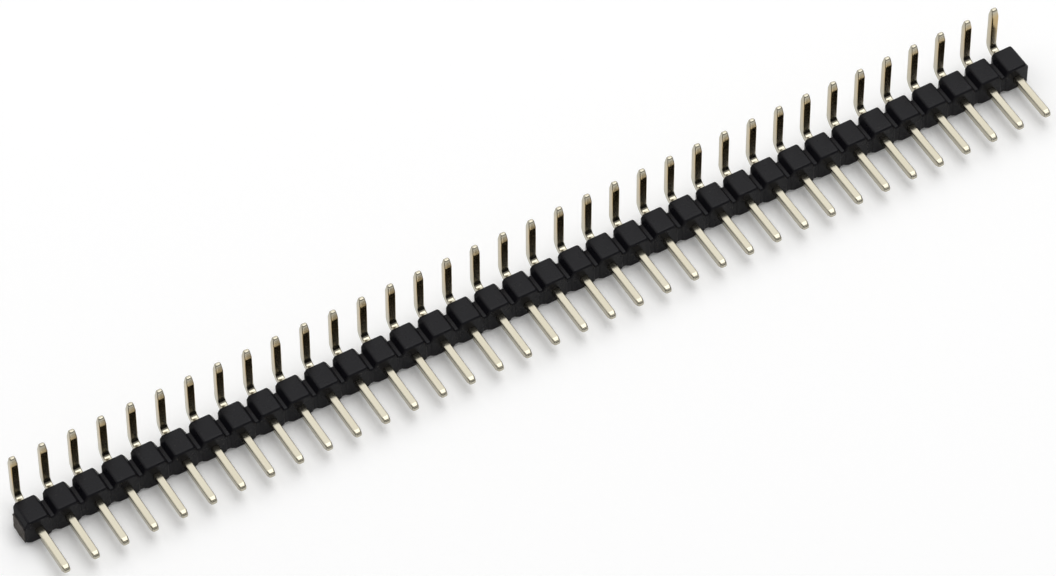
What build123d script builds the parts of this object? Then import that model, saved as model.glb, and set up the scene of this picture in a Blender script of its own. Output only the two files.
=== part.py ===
"""Single-row right-angle pin header: a notched plastic strip and a row of bent square pins, in millimetres.

X runs along the strip, the mating posts point to -Y and the solder tails point up, along +Z.
The strip lies on the flat undersides of its cells, at z = 0. The origin is under the middle of the part.
"""
import os

from build123d import *

# Row of contacts
positions = 36
pitch = 2.54

# Moulded strip, with the edges of each cell rounded
housing_height = 2.54
housing_depth = 2.40
edge_radius = 0.20

# Break-off notches between the cells, along the pins: deep on top, shallow and wide underneath
notch_depth = 0.53
notch_mouth = 0.90
notch_floor = 0.26
under_notch_depth = 0.25
under_notch_mouth = 1.10

# Upright grooves in front of and behind the necks that join the cells
back_groove_depth = 0.45
back_groove_mouth = 0.66
front_groove_depth = 0.06

# Stub of a neck that stands out of the end where the strip was snapped off a longer one
snapped_stub = 0.16

# Square contact pins, measured from the faces of the strip
pin_side = 0.64
pin_corner_radius = 0.10
post_length = 4.60
tail_length = 3.43
stub_length = 1.43
bend_inner_radius = 0.40

# Bevelled pin ends
post_bevel_length = 0.42
tail_bevel_length = 0.70
tip_width_share = 0.80
tip_thickness_share = 0.55

# Places along the strip
first_x = -(positions - 1) * pitch / 2
pin_places = [first_x + number * pitch for number in range(positions)]

# Places across the strip, with the whole depth centred on the origin
overall_depth = post_length + housing_depth + stub_length + pin_side / 2
post_tip_y = -overall_depth / 2
post_bevel_y = post_tip_y + post_bevel_length
front_y = post_tip_y + post_length
back_y = front_y + housing_depth
tail_axis_y = back_y + stub_length

# Heights
pin_axis_z = housing_height / 2
tail_tip_z = housing_height + tail_length
tail_bevel_z = tail_tip_z - tail_bevel_length

# Widths of one cell: over its top flat, its underside, its widest part and its back face
flat_width = pitch - notch_mouth
under_width = pitch - under_notch_mouth
cell_width = pitch - notch_floor
back_width = pitch - back_groove_mouth
snapped_end_x = first_x - cell_width / 2 - snapped_stub

# The neck that joins the cells, between the notches and the grooves
neck_depth = housing_depth - front_groove_depth - back_groove_depth
neck_height = housing_height - notch_depth - under_notch_depth
neck_centre_y = front_y + front_groove_depth + neck_depth / 2
neck_centre_z = under_notch_depth + neck_height / 2

# The bend and the blunt ends of a pin
bend_radius = bend_inner_radius + pin_side / 2
tip_width = pin_side * tip_width_share
tip_thickness = pin_side * tip_thickness_share
tip_corner_radius = pin_corner_radius * tip_thickness_share

os.makedirs("parts", exist_ok=True)

# One cell of the strip, centred on its pin: eight-sided seen along the pin, narrowed towards its back face
with BuildPart() as cell:
    with BuildSketch(Plane.XZ.offset(-back_y)):
        with BuildLine():
            Polyline(
                (-under_width / 2, 0),
                (under_width / 2, 0),
                (cell_width / 2, under_notch_depth),
                (cell_width / 2, housing_height - notch_depth),
                (flat_width / 2, housing_height),
                (-flat_width / 2, housing_height),
                (-cell_width / 2, housing_height - notch_depth),
                (-cell_width / 2, under_notch_depth),
                close=True,
            )
        make_face()
    extrude(amount=housing_depth)
    with BuildSketch(Plane.XY):
        with BuildLine():
            Polyline(
                (-cell_width / 2, front_y),
                (cell_width / 2, front_y),
                (cell_width / 2, back_y - back_groove_depth),
                (back_width / 2, back_y),
                (-back_width / 2, back_y),
                (-cell_width / 2, back_y - back_groove_depth),
                close=True,
            )
        make_face()
    extrude(amount=housing_height, mode=Mode.INTERSECT)
    front_face, back_face = cell.faces().sort_by(Axis.Y)[0], cell.faces().sort_by(Axis.Y)[-1]
    underside, top_face = cell.faces().sort_by(Axis.Z)[0], cell.faces().sort_by(Axis.Z)[-1]
    rounded_edges = front_face.edges() + back_face.edges() + underside.edges() + top_face.edges()
    fillet(rounded_edges, radius=edge_radius)

# The whole strip, moulded in one: cells in a row on their necks, with a stub of a neck at the end
# where it was snapped off a longer strip, and a square hole for each pin
with BuildPart() as housing_strip:
    with BuildSketch(Plane.YZ.offset(snapped_end_x)):
        with Locations((neck_centre_y, neck_centre_z)):
            Rectangle(neck_depth, neck_height)
    extrude(amount=pin_places[-1] - snapped_end_x)
    with Locations([(pin_x, 0, 0) for pin_x in pin_places]):
        add(cell.part)
    with BuildSketch(Plane.XZ.offset(-back_y)):
        with Locations([(pin_x, pin_axis_z) for pin_x in pin_places]):
            Rectangle(pin_side, pin_side)
    extrude(amount=housing_depth, mode=Mode.SUBTRACT)
housing_strip.part.label = "housing_strip"
export_step(housing_strip.part, "parts/housing_strip.step")

# One contact pin at x = 0: square wire with rounded corners, bent up behind the strip, both ends bevelled
with BuildPart() as bent_pin:
    with BuildLine(Plane.YZ):
        FilletPolyline(
            (post_bevel_y, pin_axis_z),
            (tail_axis_y, pin_axis_z),
            (tail_axis_y, tail_bevel_z),
            radius=bend_radius,
        )
    with BuildSketch(Plane.XZ.offset(-post_bevel_y)):
        with Locations((0, pin_axis_z)):
            RectangleRounded(pin_side, pin_side, pin_corner_radius)
    sweep()
    with BuildSketch(Plane.XZ.offset(-post_bevel_y)):
        with Locations((0, pin_axis_z)):
            RectangleRounded(pin_side, pin_side, pin_corner_radius)
    with BuildSketch(Plane.XZ.offset(-post_tip_y)):
        with Locations((0, pin_axis_z)):
            RectangleRounded(tip_width, tip_thickness, tip_corner_radius)
    loft()
    with BuildSketch(Plane.XY.offset(tail_bevel_z)):
        with Locations((0, tail_axis_y)):
            RectangleRounded(pin_side, pin_side, pin_corner_radius)
    with BuildSketch(Plane.XY.offset(tail_tip_z)):
        with Locations((0, tail_axis_y)):
            RectangleRounded(tip_width, tip_thickness, tip_corner_radius)
    loft()

# The row of pins, one through each cell
for number, pin_x in enumerate(pin_places, start=1):
    with BuildPart() as contact_pin:
        with Locations((pin_x, 0, 0)):
            add(bent_pin.part)
    contact_pin.part.label = f"contact_pin_{number:02d}"
    export_step(contact_pin.part, f"parts/contact_pin_{number:02d}.step")
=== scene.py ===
import math

import bpy
import numpy as np
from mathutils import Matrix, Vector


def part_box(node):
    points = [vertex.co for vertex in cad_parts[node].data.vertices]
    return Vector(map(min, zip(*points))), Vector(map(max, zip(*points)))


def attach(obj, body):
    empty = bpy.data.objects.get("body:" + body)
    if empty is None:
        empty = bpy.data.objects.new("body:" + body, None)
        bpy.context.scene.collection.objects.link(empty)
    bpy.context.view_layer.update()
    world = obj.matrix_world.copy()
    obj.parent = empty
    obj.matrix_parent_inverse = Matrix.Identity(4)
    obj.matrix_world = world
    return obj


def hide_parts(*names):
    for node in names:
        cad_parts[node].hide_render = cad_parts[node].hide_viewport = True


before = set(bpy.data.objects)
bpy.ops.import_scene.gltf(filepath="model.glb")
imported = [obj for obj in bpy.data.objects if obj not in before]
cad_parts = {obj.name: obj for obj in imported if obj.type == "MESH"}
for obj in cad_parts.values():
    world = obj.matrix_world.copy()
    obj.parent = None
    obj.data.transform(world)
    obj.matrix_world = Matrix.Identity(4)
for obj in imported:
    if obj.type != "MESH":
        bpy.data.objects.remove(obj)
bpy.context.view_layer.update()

# Contact pins: drawn square wire of a copper alloy, cut and coined to a blunt bevel at both ends,
# bright tin plated, pressed through the cells of the strip and bent up by 90 degrees behind it.
mm = 0.001
pin_names = sorted(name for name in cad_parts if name.startswith("contact_pin"))
pin_side = 0.64 * mm
pin_corner_radius = 0.10 * mm
bend_radius = 0.72 * mm
bend_bulge_share = 0.05
post_bevel_length = 0.42 * mm
tail_bevel_length = 0.70 * mm
tip_width_share = 0.80
tip_thickness_share = 0.55
tip_edge_radius = 0.12 * mm
shoulder_blend = 0.015 * mm
lean_limit = 0.004
first_low, first_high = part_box(pin_names[0])
post_tip_y = first_low.y
tail_axis_y = first_high.y - pin_side / 2
tail_tip_z = first_high.z
pin_axis_z = first_low.z + pin_side / 2
post_run = tail_axis_y - bend_radius - post_tip_y
bend_run = bend_radius * math.pi / 2
tail_run = tail_tip_z - pin_axis_z - bend_radius
wire_length = post_run + bend_run + tail_run


def rounded_outline(corner_a, corner_b, start_angles, end_angles, radius, ease, arc_steps):
    """Outline of a convex shape with round corners, one row for each station.

    Each corner of the inner polygon carries an arc: corner + radius * (cos, sin), where the angle runs
    evenly from the start to the end angle. A point on the straight, one ease away from each end of the
    arc, keeps the flats flat when the shading is smooth.
    """
    turn = np.linspace(0, 1, arc_steps)
    angles = start_angles[:, None] + (end_angles - start_angles)[:, None] * turn
    flat_angles = np.concatenate([start_angles[:, None], angles, end_angles[:, None]], axis=1)
    slide_a = np.zeros_like(flat_angles)
    slide_b = np.zeros_like(flat_angles)
    slide_a[:, 0] = np.sin(start_angles)
    slide_b[:, 0] = -np.cos(start_angles)
    slide_a[:, -1] = -np.sin(end_angles)
    slide_b[:, -1] = np.cos(end_angles)
    ease = np.broadcast_to(ease, radius.shape)[:, None, None]
    a = corner_a[:, :, None] + radius[:, None, None] * np.cos(flat_angles) + ease * slide_a
    b = corner_b[:, :, None] + radius[:, None, None] * np.sin(flat_angles) + ease * slide_b
    return a.reshape(len(radius), -1), b.reshape(len(radius), -1)


def tube_faces(stations, around, first=0):
    """Quads between neighbouring rings of a closed tube, and one flat face over each end ring."""
    ring = np.arange(stations - 1)[:, None] * around
    place = np.arange(around)[None, :]
    following = (place + 1) % around
    next_ring = ring + around
    quads = np.stack([ring + place, ring + following, next_ring + following, next_ring + place], axis=-1)
    near_end = np.arange(around)[::-1]
    far_end = (stations - 1) * around + np.arange(around)
    faces = (quads.reshape(-1, 4) + first).tolist()
    return faces + [(near_end + first).tolist(), (far_end + first).tolist()]


def smooth_piece(name, points, faces):
    """Object at the origin with smooth shading, from an array of points and faces that point outwards."""
    mesh = bpy.data.meshes.new(name)
    mesh.from_pydata(points.reshape(-1, 3).tolist(), [], faces)
    mesh.polygons.foreach_set("use_smooth", np.ones(len(mesh.polygons), dtype=bool))
    mesh.update()
    piece = bpy.data.objects.new(name, mesh)
    bpy.context.scene.collection.objects.link(piece)
    return piece


def point_attribute(piece, name, kind, values):
    """Stores one value or vector for each point of a piece, for its material to read."""
    attribute = piece.data.attributes.new(name, kind, "POINT")
    attribute.data.foreach_set("vector" if kind == "FLOAT_VECTOR" else "value", np.ravel(values))


def bevelled_half_side(from_tip, bevel_length, tip_share):
    """Half the wire's side at a distance from its tip.

    A straight bevel from the tip's half side to the full one, eased into the full side by a smooth minimum,
    and rounded at the end face: the half side loses r - sqrt(r^2 - (r - d)^2) within r of the tip.
    """
    full = pin_side / 2
    bevel = full * (tip_share + (1 - tip_share) * from_tip / bevel_length)
    overlap = np.clip((shoulder_blend - np.abs(bevel - full)) / shoulder_blend, 0, 1)
    eased = np.minimum(bevel, full) - shoulder_blend * overlap ** 2 / 4
    short = np.clip(tip_edge_radius - from_tip, 0, tip_edge_radius)
    return eased - (tip_edge_radius - np.sqrt(tip_edge_radius ** 2 - short ** 2))


def wire_half_side(tip_share):
    """Half the wire's side at every station: the smaller of what the post's and the tail's bevel leave."""
    post_half = bevelled_half_side(wire_s, post_bevel_length, tip_share)
    tail_half = bevelled_half_side(wire_length - wire_s, tail_bevel_length, tip_share)
    return np.minimum(post_half, tail_half)


# Stations along the wire: close together on the tips, the shoulders of the bevels and the bend
tip_shares = np.array([0, 0.03, 0.13, 0.3, 0.6, 1.0])
bevel_shares = np.array([0.25, 0.5, 0.7, 0.82, 0.9, 0.96, 1.02, 1.08, 1.15, 1.4])
post_shares = np.append(bevel_shares, [3, 6])
tail_shares = np.append(bevel_shares, 2.4)
bend_margin_share = 0.04
bend_rings = 19
tip_stations = tip_edge_radius * tip_shares
post_stations = post_bevel_length * post_shares
tail_stations = tail_bevel_length * tail_shares
bend_stations = post_run + bend_run * np.linspace(-bend_margin_share, 1 + bend_margin_share, bend_rings)
wire_s = np.concatenate([
    tip_stations, post_stations, bend_stations,
    (wire_length - tail_stations)[::-1], (wire_length - tip_stations)[::-1],
])
bend_angle = np.clip((wire_s - post_run) / bend_radius, 0, math.pi / 2)
wire_y = post_tip_y + np.minimum(wire_s, post_run) + bend_radius * np.sin(bend_angle)
wire_z = pin_axis_z + bend_radius * (1 - np.cos(bend_angle)) + np.maximum(wire_s - post_run - bend_run, 0)
half_width = wire_half_side(tip_width_share)
half_thickness = wire_half_side(tip_thickness_share)

# Coining reaches a little past each bevel, and leaves the corners rounder than those of the drawn wire
coined_reach = 1.1
coined_corner_gain = 0.5
corner_thickness_share = 0.8
in_bevels = np.minimum(wire_s / post_bevel_length, (wire_length - wire_s) / tail_bevel_length)
coined = np.clip(coined_reach - in_bevels, 0, 1)
coined_radius = pin_corner_radius * (1 + coined_corner_gain * coined)
corner_radius = np.minimum(coined_radius, corner_thickness_share * half_thickness)
square_a = np.array([1, -1, -1, 1]) * (half_width - corner_radius)[:, None]
square_b = np.array([1, 1, -1, -1]) * (half_thickness - corner_radius)[:, None]
quarter_turns = np.arange(4) * math.pi / 2
arc_points = 5
longest_ease = 0.02 * mm
ease_share = 0.5
wire_ease = np.minimum(longest_ease, ease_share * (half_thickness - corner_radius))
wire_a, wire_b = rounded_outline(square_a, square_b, quarter_turns, quarter_turns + math.pi / 2,
                                 corner_radius, wire_ease, arc_points)
# The wire swells sideways on the inside of its bend
in_bend = np.sin(2 * bend_angle)[:, None]
wire_a = wire_a * (1 + bend_bulge_share * in_bend * wire_b / (pin_side / 2))
pin_y = wire_y[:, None] - np.sin(bend_angle)[:, None] * wire_b
pin_z = wire_z[:, None] + np.cos(bend_angle)[:, None] * wire_b
# Rings about a path along +Y run the other way round than rings about +X, so the faces are turned
pin_faces = [face[::-1] for face in tube_faces(*wire_a.shape)]
# Painted reflection: the front of each tail, on the inside of the bend, is painted a warmer brown from past
# the bend to the coined tip, for the dark warm tint it shows where it mirrors the black strip
tail_reflection_fade = 0.4 * mm
tail_reflection_side_share = 0.4
past_bend = np.clip((wire_s - post_run - bend_run) / tail_reflection_fade, 0, 1) * (1 - coined)
painted_tail_reflection = past_bend[:, None] * np.clip(wire_b / (tail_reflection_side_share * pin_side), 0, 1) ** 2


def wear_group():
    """Handling wear in a piece's own millimetres: broad patches, sparse specks and fine grain.

    Each is a noise texture, with the part of its range between a low and a high level stretched to 0 to 1.
    """
    group = bpy.data.node_groups.new("handling_wear", "ShaderNodeTree")
    group.interface.new_socket("Place", in_out="INPUT", socket_type="NodeSocketVector")
    kinds = (
        ("Patch Scale", 0.4, 3.0, 0.3, 0.7, "Patches"),
        ("Speck Scale", 6.0, 1.0, 0.72, 0.8, "Specks"),
        ("Grain Scale", 25.0, 4.0, 0.2, 0.8, "Grain"),
    )
    for scale_name, scale, detail, low, high, result_name in kinds:
        scale_socket = group.interface.new_socket(scale_name, in_out="INPUT", socket_type="NodeSocketFloat")
        scale_socket.default_value = scale
        group.interface.new_socket(result_name, in_out="OUTPUT", socket_type="NodeSocketFloat")
    way_in = group.nodes.new("NodeGroupInput")
    way_out = group.nodes.new("NodeGroupOutput")
    for scale_name, scale, detail, low, high, result_name in kinds:
        noise = group.nodes.new("ShaderNodeTexNoise")
        noise.inputs["Detail"].default_value = detail
        group.links.new(way_in.outputs["Place"], noise.inputs["Vector"])
        group.links.new(way_in.outputs[scale_name], noise.inputs["Scale"])
        levels = group.nodes.new("ShaderNodeMapRange")
        levels.inputs["From Min"].default_value = low
        levels.inputs["From Max"].default_value = high
        group.links.new(noise.outputs["Fac"], levels.inputs["Value"])
        group.links.new(levels.outputs["Result"], way_out.inputs[result_name])
    return group


handling_wear = wear_group()


def placed(tree, kind, **values):
    """Adds a node to a material and sets its named inputs."""
    node = tree.nodes.new(kind)
    for socket, value in values.items():
        node.inputs[socket.replace("_", " ")].default_value = value
    return node


def worn(tree, place, patch_scale, speck_scale, grain_scale):
    """Adds the handling wear to a material, at the place that a socket gives in millimetres."""
    wear = tree.nodes.new("ShaderNodeGroup")
    wear.node_tree = handling_wear
    wear.inputs["Patch Scale"].default_value = patch_scale
    wear.inputs["Speck Scale"].default_value = speck_scale
    wear.inputs["Grain Scale"].default_value = grain_scale
    tree.links.new(place, wear.inputs["Place"])
    return wear


pin_colour = (0.475, 0.447, 0.362, 1)
pin_deep_colour = (0.44, 0.40, 0.305, 1)
# Painted reflection: the warm brown tint of the tails' fronts, where they mirror the black strip
tail_reflection_colour = (0.54, 0.40, 0.20, 1)
least_pin_tint = 0.55
streak_stretch = (5.0, 5.0, 0.30)
streak_scales = (0.35, 1.2, 2.2)
least_pin_roughness = 0.15
most_pin_roughness = 0.21
coined_roughness = 0.05


def tin_plate():
    """Bright tin over drawn wire: a pale warm metal with streaks along the wire and duller coined ends."""
    material = bpy.data.materials.new("bright_tin_plate")
    material.use_nodes = True
    tree = material.node_tree
    shader = tree.nodes["Principled BSDF"]
    shader.inputs["Metallic"].default_value = 1.0
    along_wire = tree.nodes.new("ShaderNodeAttribute")
    along_wire.attribute_name = "wire_place"
    stretch = placed(tree, "ShaderNodeMapping", Scale=streak_stretch)
    tree.links.new(along_wire.outputs["Vector"], stretch.inputs["Vector"])
    wear = worn(tree, stretch.outputs["Vector"], *streak_scales)
    tint = tree.nodes.new("ShaderNodeMix")
    tint.data_type = "RGBA"
    tint.inputs["A"].default_value = pin_deep_colour
    tint.inputs["B"].default_value = pin_colour
    spread = placed(tree, "ShaderNodeMapRange", To_Min=least_pin_tint, To_Max=1.0)
    tree.links.new(wear.outputs["Patches"], spread.inputs["Value"])
    tree.links.new(spread.outputs["Result"], tint.inputs["Factor"])
    # Painted reflection: warm brown mixed into the colour on the tails' fronts, for the tint they show when
    # they mirror the black strip
    tail_reflection_mask = tree.nodes.new("ShaderNodeAttribute")
    tail_reflection_mask.attribute_name = "painted_tail_reflection"
    reflection_tint = tree.nodes.new("ShaderNodeMix")
    reflection_tint.data_type = "RGBA"
    reflection_tint.inputs["B"].default_value = tail_reflection_colour
    tree.links.new(tail_reflection_mask.outputs["Fac"], reflection_tint.inputs["Factor"])
    tree.links.new(tint.outputs["Result"], reflection_tint.inputs["A"])
    tree.links.new(reflection_tint.outputs["Result"], shader.inputs["Base Color"])
    dull = placed(tree, "ShaderNodeMapRange", To_Min=least_pin_roughness, To_Max=most_pin_roughness)
    tree.links.new(wear.outputs["Grain"], dull.inputs["Value"])
    coined_end = tree.nodes.new("ShaderNodeAttribute")
    coined_end.attribute_name = "coined"
    duller = tree.nodes.new("ShaderNodeMath")
    duller.operation = "MULTIPLY_ADD"
    duller.inputs[1].default_value = coined_roughness
    tree.links.new(coined_end.outputs["Fac"], duller.inputs[0])
    tree.links.new(dull.outputs["Result"], duller.inputs[2])
    tree.links.new(duller.outputs["Value"], shader.inputs["Roughness"])
    return material


pin_metal = tin_plate()
pin_draws = np.random.default_rng(36)
# Each pin shows another stretch of the streaks, so that no two look alike
streak_step = 3 * wire_length
for number, name in enumerate(pin_names):
    low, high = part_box(name)
    pin_x = (low.x + high.x) / 2
    # Bending leaves each tail a hair out of line, along the strip
    lean = lean_limit * pin_draws.uniform(-1, 1)
    sideways = lean * np.maximum(pin_z - pin_axis_z, 0)
    pin_points = np.stack([pin_x + wire_a + sideways, pin_y, pin_z], axis=-1)
    pin = smooth_piece(f"pin_{number + 1:02d}", pin_points, pin_faces)
    along = np.broadcast_to(wire_s[:, None] + number * streak_step, wire_a.shape)
    unbent = np.stack([wire_a, wire_b, along], axis=-1)
    point_attribute(pin, "wire_place", "FLOAT_VECTOR", unbent / mm)
    point_attribute(pin, "coined", "FLOAT", np.broadcast_to(coined[:, None], wire_a.shape))
    # Mask of the painted reflection on the tails' fronts
    point_attribute(pin, "painted_tail_reflection", "FLOAT", painted_tail_reflection)
    pin.data.materials.append(pin_metal)
    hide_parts(name)
    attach(pin, "root")

# Housing strip: glass-filled black plastic, moulded in one piece as a row of eight-sided cells on slim necks,
# so that a length can be snapped off by hand. The left end carries the torn stub of the last neck.
strip_low, strip_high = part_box("housing_strip")
cell_height = strip_high.z - strip_low.z
front_y = strip_low.y
back_y = strip_high.y
flat_half_width = 0.82 * mm
under_half_width = 0.72 * mm
cell_half_width = 1.14 * mm
back_half_width = 0.94 * mm
notch_depth = 0.53 * mm
under_notch_depth = 0.25 * mm
groove_depth = 0.45 * mm
front_groove_depth = 0.06 * mm
edge_radius = 0.20 * mm
sink_depth = 0.012 * mm
lip_gap = 0.006 * mm
lip_radius = 0.04 * mm
cell_centres = np.array([(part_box(name)[0].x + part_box(name)[1].x) / 2 for name in pin_names])

# Rings of a cell: over its rounded edges, along its sides, and on its faces round the mouths of its hole
ball_rings = 7
front_side_share = 1.15
back_side_share = 1.1
groove_ease = 0.06 * mm
cell_ease = 0.015 * mm
flat_band_share = 0.1
square_power = 8
face_inset_share = 0.97
lip_width_shares = np.array([1.2, 1.0, 0.3, 0.0, 0.0])
lip_depth_shares = np.array([0, 0, 0, 0.3, 1, 4])


def flank_corners(flat_half, depth, half_width):
    """Inner corners of a sloping flank, at the flat and at the side of the cell, as width and depth below it.

    The flank is the line through (flat half width, 0) and (cell half width, depth), moved in by the edge
    radius. It is cut by the flat and by the side, moved in as far.
    """
    normal = np.array([depth, cell_half_width - flat_half])
    normal = normal / np.hypot(*normal)
    reach = normal[0] * flat_half - edge_radius
    flat_a = np.full_like(half_width, (reach + normal[1] * edge_radius) / normal[0])
    side_a = half_width - edge_radius
    side_below = (normal[0] * side_a - reach) / normal[1]
    return flat_a, side_a, side_below, math.atan2(normal[1], normal[0])


def cell_surface():
    """One cell about its pin, as rings round the pin's line from the mouth of its front hole to its back one.

    A ring on the sides is the inner polygon of the cell with a disc rolled round it. Its half width narrows
    in a straight line along the back groove. Within one edge radius of the front and back faces, the disc
    shrinks as the section of a rolling ball does, sqrt(r^2 - (r - d)^2). On the faces, the rings go over to
    the square hole.
    """
    r = edge_radius
    roll_angle = np.linspace(0, math.pi / 2, ball_rings)
    ball = r * np.sin(roll_angle)
    ball_y = r * (1 - np.cos(roll_angle))
    groove_y = back_y - groove_depth
    sides_y = np.array([
        front_y + front_side_share * r,
        groove_y - groove_ease, groove_y, groove_y + groove_ease,
        back_y - back_side_share * r,
    ])
    ring_y = np.concatenate([front_y + ball_y, sides_y, back_y - ball_y[::-1]])
    disc = np.concatenate([ball, np.full(len(sides_y), r), ball[::-1]])
    back_share = np.clip((np.minimum(ring_y, back_y - r) - groove_y) / groove_depth, 0, 1)
    ring_half = cell_half_width + (back_half_width - cell_half_width) * back_share
    top_a, side_a, top_below, top_tilt = flank_corners(flat_half_width, notch_depth, ring_half)
    low_a, side_a, low_above, low_tilt = flank_corners(under_half_width, under_notch_depth, ring_half)
    top_z = np.full_like(ring_half, cell_height - r)
    low_z = np.full_like(ring_half, r)
    corner_a = np.stack([side_a, top_a, -top_a, -side_a, -side_a, -low_a, low_a, side_a], axis=1)
    corner_z = np.stack([cell_height - top_below, top_z, top_z, cell_height - top_below,
                         low_above, low_z, low_z, low_above], axis=1)
    quarter = math.pi / 2
    edge_angles = np.array([0, top_tilt, quarter, 2 * quarter - top_tilt, 2 * quarter, 2 * quarter + low_tilt,
                            3 * quarter, 4 * quarter - low_tilt, 4 * quarter])
    a, z = rounded_outline(corner_a, corner_z, edge_angles[:-1], edge_angles[1:], disc, cell_ease, arc_points)
    # The top flat sinks a little over the pin, where the plastic is thinnest
    across = np.clip(1 - (a / flat_half_width) ** 2, 0, 1)
    along = np.sin(math.pi * np.clip((ring_y - front_y) / (back_y - front_y), 0, 1))[:, None]
    z = z - sink_depth * across * along * (z > cell_height - flat_band_share * r)
    # Rings on a face: just inside the rounded edge, round the mouth of the square hole, and into it
    sense = np.arctan2(z[0] - pin_axis_z, a[0])
    power_sum = np.abs(np.cos(sense)) ** square_power + np.abs(np.sin(sense)) ** square_power
    hole = (pin_side / 2 + lip_gap) * power_sum ** (-1 / square_power)
    wider = lip_width_shares[:, None] * lip_radius
    deeper = lip_depth_shares * lip_radius
    mouth_a = np.cos(sense) * (hole + wider)
    mouth_z = pin_axis_z + np.sin(sense) * (hole + wider)
    front_a = np.concatenate([a[:1] * face_inset_share, mouth_a])[::-1]
    front_z = np.concatenate([pin_axis_z + (z[:1] - pin_axis_z) * face_inset_share, mouth_z])[::-1]
    rear_a = np.concatenate([a[-1:] * face_inset_share, mouth_a])
    rear_z = np.concatenate([pin_axis_z + (z[-1:] - pin_axis_z) * face_inset_share, mouth_z])
    all_a = np.concatenate([front_a, a, rear_a])
    all_z = np.concatenate([front_z, z, rear_z])
    all_y = np.concatenate([(front_y + deeper)[::-1], ring_y, back_y - deeper])
    return all_a, np.broadcast_to(all_y[:, None], all_a.shape), all_z


cell_x, cell_y, cell_z = cell_surface()
cells = np.stack(np.broadcast_arrays(cell_centres[:, None, None] + cell_x, cell_y, cell_z), axis=-1)
points_per_cell = cell_x.size
# Rings about +Y again, so these faces are turned too
cell_faces = [face[::-1] for face in tube_faces(*cell_x.shape)]
strip_faces = [[corner + index * points_per_cell for corner in face]
               for index in range(len(cell_centres)) for face in cell_faces]

# The necks and the torn end of the strip
neck_half_depth = (back_y - front_y - front_groove_depth - groove_depth) / 2
neck_half_height = (cell_height - notch_depth - under_notch_depth) / 2
neck_centre_y = front_y + front_groove_depth + neck_half_depth
neck_centre_z = under_notch_depth + neck_half_height
neck_edge_radius = 0.16 * mm
neck_ease = 0.25 * mm
outline_steps = 96
torn_rings = 20
middle_share = 0.03
rim_share = 0.97
rim_torn_share = 0.6
rim_set_in = 0.03 * mm
side_set_in = 0.12 * mm
far_ring_gap = 0.2 * mm
tear_depth = 0.07 * mm
tear_waves = 30
shortest_wave_mm = 0.2
longest_wave_mm = 1.0
torn_draws = np.random.default_rng(7)


def neck_bar():
    """The necks as one bar along the strip: a rounded rectangle carried along X, its left face torn.

    The outline is cut into even steps. The torn face is rings that shrink towards the middle, set in by a
    share of the tear's depth: a sum of sine waves of random lengths and directions over the face, brought
    to 0 to 1. A last ring just before the far end keeps the shading even along the bar.
    """
    corner_y = np.array([[1, -1, -1, 1]]) * (neck_half_depth - neck_edge_radius)
    corner_z = np.array([[1, 1, -1, -1]]) * (neck_half_height - neck_edge_radius)
    y, z = rounded_outline(corner_y, corner_z, quarter_turns, quarter_turns + math.pi / 2,
                           np.array([neck_edge_radius]), neck_ease, arc_points)
    closed_y = np.append(y[0], y[0, 0])
    closed_z = np.append(z[0], z[0, 0])
    walked = np.append(0, np.cumsum(np.hypot(np.diff(closed_y), np.diff(closed_z))))
    steps = np.linspace(0, walked[-1], outline_steps, endpoint=False)
    share = np.concatenate([np.linspace(middle_share, rim_share, torn_rings), np.ones(4)])
    torn_ring = np.concatenate([np.ones(torn_rings), [rim_torn_share, 0, 0, 0]])
    ring_x = np.concatenate([
        np.full(torn_rings, strip_low.x),
        [strip_low.x + rim_set_in, strip_low.x + side_set_in],
        [cell_centres[-1] - far_ring_gap, cell_centres[-1]],
    ])
    ring_y = share[:, None] * np.interp(steps, walked, closed_y)
    ring_z = share[:, None] * np.interp(steps, walked, closed_z)
    wave_length = torn_draws.uniform(shortest_wave_mm, longest_wave_mm, tear_waves) * mm
    wave_angle = torn_draws.uniform(0, math.pi, tear_waves)
    wave_start = torn_draws.uniform(0, 2 * math.pi, tear_waves)
    along_wave = ring_y[..., None] * np.cos(wave_angle) + ring_z[..., None] * np.sin(wave_angle)
    waves = np.sqrt(wave_length) * np.sin(2 * math.pi * along_wave / wave_length + wave_start)
    rough = waves.sum(axis=-1)
    rough = (rough - rough.min()) / (rough.max() - rough.min())
    x = ring_x[:, None] + tear_depth * torn_ring[:, None] * rough
    bar_points = np.stack([x, neck_centre_y + ring_y, neck_centre_z + ring_z], axis=-1)
    return bar_points, np.repeat(torn_ring, outline_steps)


bar, bar_torn = neck_bar()
strip_points = np.concatenate([cells.reshape(-1, 3), bar.reshape(-1, 3)])
strip_faces += tube_faces(bar.shape[0], bar.shape[1], cells[..., 0].size)
strip = smooth_piece("housing_moulding", strip_points, strip_faces)
point_attribute(strip, "torn", "FLOAT", np.concatenate([np.zeros(cells[..., 0].size), bar_torn]))

plastic_colour = (0.0052, 0.0050, 0.0070, 1)
dust_colour = (0.03, 0.029, 0.028, 1)
torn_colour = (0.055, 0.047, 0.040, 1)
plastic_ior = 1.5
plastic_specular = 0.15
per_mm = 1000.0
plastic_scales = (0.9, 4.0, 14.0)
least_plastic_roughness = 0.24
most_plastic_roughness = 0.34
torn_roughness = 0.3
grain_strength = 0.25
grain_height = 0.01 * mm


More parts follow.
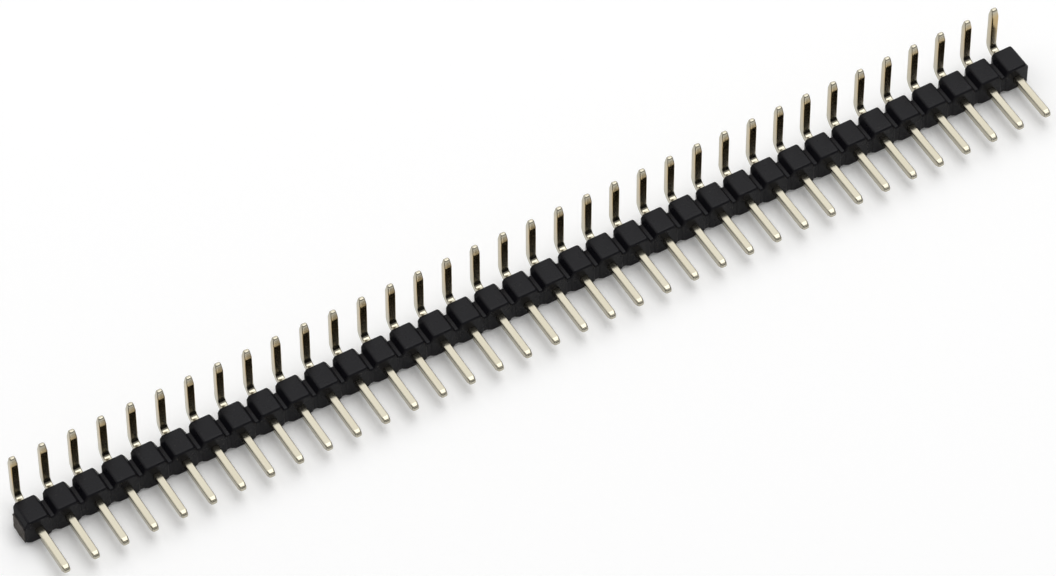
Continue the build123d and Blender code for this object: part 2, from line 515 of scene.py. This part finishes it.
def moulded_plastic():
    """Black satin plastic: fine mould grain, a patchy sheen, a little dust, dull and pale where torn."""
    material = bpy.data.materials.new("moulded_black_plastic")
    material.use_nodes = True
    tree = material.node_tree
    shader = tree.nodes["Principled BSDF"]
    shader.inputs["IOR"].default_value = plastic_ior
    shader.inputs["Specular IOR Level"].default_value = plastic_specular
    place = tree.nodes.new("ShaderNodeTexCoord")
    in_mm = placed(tree, "ShaderNodeMapping", Scale=(per_mm, per_mm, per_mm))
    tree.links.new(place.outputs["Object"], in_mm.inputs["Vector"])
    wear = worn(tree, in_mm.outputs["Vector"], *plastic_scales)
    torn_face = tree.nodes.new("ShaderNodeAttribute")
    torn_face.attribute_name = "torn"
    dusty = tree.nodes.new("ShaderNodeMix")
    dusty.data_type = "RGBA"
    dusty.inputs["A"].default_value = plastic_colour
    dusty.inputs["B"].default_value = dust_colour
    tree.links.new(wear.outputs["Specks"], dusty.inputs["Factor"])
    pale = tree.nodes.new("ShaderNodeMix")
    pale.data_type = "RGBA"
    pale.inputs["B"].default_value = torn_colour
    tree.links.new(torn_face.outputs["Fac"], pale.inputs["Factor"])
    tree.links.new(dusty.outputs["Result"], pale.inputs["A"])
    tree.links.new(pale.outputs["Result"], shader.inputs["Base Color"])
    satin = placed(tree, "ShaderNodeMapRange", To_Min=least_plastic_roughness, To_Max=most_plastic_roughness)
    tree.links.new(wear.outputs["Patches"], satin.inputs["Value"])
    dull = tree.nodes.new("ShaderNodeMath")
    dull.operation = "MULTIPLY_ADD"
    dull.inputs[1].default_value = torn_roughness
    tree.links.new(torn_face.outputs["Fac"], dull.inputs[0])
    tree.links.new(satin.outputs["Result"], dull.inputs[2])
    tree.links.new(dull.outputs["Value"], shader.inputs["Roughness"])
    grain = placed(tree, "ShaderNodeBump", Strength=grain_strength, Distance=grain_height)
    tree.links.new(wear.outputs["Grain"], grain.inputs["Height"])
    tree.links.new(grain.outputs["Normal"], shader.inputs["Normal"])
    return material


strip.data.materials.append(moulded_plastic())
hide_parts("housing_strip")
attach(strip, "root")

# Studio table: a plain white top, matt, that carries the strip's soft shadow. It is white by its own colour
# under light of a plain level, and is lifted the last step where it is seen straight, mirrored or through
# glass.
table_half = 2.0
table_colour = (0.95, 0.95, 0.95, 1)
table_roughness = 0.9
table_lift = 0.10
table_corners = np.array([[-1, -1, 0], [1, -1, 0], [1, 1, 0], [-1, 1, 0]]) * table_half
table = smooth_piece("table_top", table_corners, [[0, 1, 2, 3]])
table_white = bpy.data.materials.new("white_table")
table_white.use_nodes = True
table_tree = table_white.node_tree
table_shader = table_tree.nodes["Principled BSDF"]
table_shader.inputs["Base Color"].default_value = table_colour
table_shader.inputs["Roughness"].default_value = table_roughness
table_shader.inputs["Specular IOR Level"].default_value = 0.0
table_shader.inputs["Emission Color"].default_value = (1, 1, 1, 1)
light_path = table_tree.nodes.new("ShaderNodeLightPath")
seen = table_tree.nodes.new("ShaderNodeMath")
seen.operation = "ADD"
seen.use_clamp = True
seen_through = table_tree.nodes.new("ShaderNodeMath")
seen_through.operation = "ADD"
seen_through.use_clamp = True
lift = table_tree.nodes.new("ShaderNodeMath")
lift.operation = "MULTIPLY"
lift.inputs[1].default_value = table_lift
table_tree.links.new(light_path.outputs["Is Camera Ray"], seen.inputs[0])
table_tree.links.new(light_path.outputs["Is Glossy Ray"], seen.inputs[1])
table_tree.links.new(seen.outputs["Value"], seen_through.inputs[0])
table_tree.links.new(light_path.outputs["Is Transmission Ray"], seen_through.inputs[1])
table_tree.links.new(seen_through.outputs["Value"], lift.inputs[0])
table_tree.links.new(lift.outputs["Value"], table_shader.inputs["Emission Strength"])
table.data.materials.append(table_white)

# Studio lights: faint even light from all round, and three softboxes. One hangs over the strip, one stands
# behind it, where the tops of the cells and the posts mirror it, and a weaker one stands behind at the left.
world_strength = 0.36
world = bpy.data.worlds.new("even_studio")
world.use_nodes = True
world.node_tree.nodes["Background"].inputs["Color"].default_value = (1, 1, 1, 1)
world.node_tree.nodes["Background"].inputs["Strength"].default_value = world_strength
bpy.context.scene.world = world


def softbox(name, place, side, brightness):
    """Square lamp that faces the middle of the strip; its power is pi times its area times its brightness."""
    lamp = bpy.data.lights.new(name, "AREA")
    lamp.shape = "SQUARE"
    lamp.size = side
    lamp.energy = math.pi * side ** 2 * brightness
    box = bpy.data.objects.new(name, lamp)
    away = np.array(place) / np.linalg.norm(place)
    across = np.cross([0, 1, 0], away)
    across = across / np.linalg.norm(across)
    facing = np.eye(4)
    facing[:3, 0] = across
    facing[:3, 1] = np.cross(away, across)
    facing[:3, 2] = away
    facing[:3, 3] = place
    box.matrix_world = facing.T.tolist()
    bpy.context.scene.collection.objects.link(box)


softbox("overhead_softbox", place=(0.18, 0.00, 0.80), side=0.62, brightness=2.15)
softbox("rear_softbox", place=(0.30, 0.56, 0.62), side=0.76, brightness=1.25)
softbox("left_softbox", place=(-0.50, 0.45, 0.60), side=0.70, brightness=0.90)

# Camera: a long lens at the photograph's angle. Its place, aim and focal length come from a fit of the rows
# of tail and post tips, and its frame is as wide as the photograph.
azimuth = math.radians(-30.4026)
elevation = math.radians(50.8908)
roll = math.radians(-0.2501)
camera_distance = 501.127 * mm
camera_target = np.array([-1.97186, -0.99471, 5.00561]) * mm
focal_pixels = 6453.862
photo_width = 1056
sensor_width = 36
nearest_seen = 0.01
farthest_seen = 20
backward = np.array([math.sin(azimuth) * math.cos(elevation), -math.cos(azimuth) * math.cos(elevation),
                     math.sin(elevation)])
level_right = np.cross(-backward, [0, 0, 1])
level_right = level_right / np.linalg.norm(level_right)
level_up = np.cross(level_right, -backward)
camera_data = bpy.data.cameras.new("photo_camera")
camera_data.sensor_width = sensor_width
camera_data.lens = focal_pixels / photo_width * sensor_width
camera_data.clip_start = nearest_seen
camera_data.clip_end = farthest_seen
camera = bpy.data.objects.new("photo_camera", camera_data)
stand = np.eye(4)
stand[:3, 0] = math.cos(roll) * level_right + math.sin(roll) * level_up
stand[:3, 1] = -math.sin(roll) * level_right + math.cos(roll) * level_up
stand[:3, 2] = backward
stand[:3, 3] = camera_target + backward * camera_distance
camera.matrix_world = stand.T.tolist()
bpy.context.scene.collection.objects.link(camera)
bpy.context.scene.camera = camera
bpy.context.scene.view_settings.view_transform = "Standard"
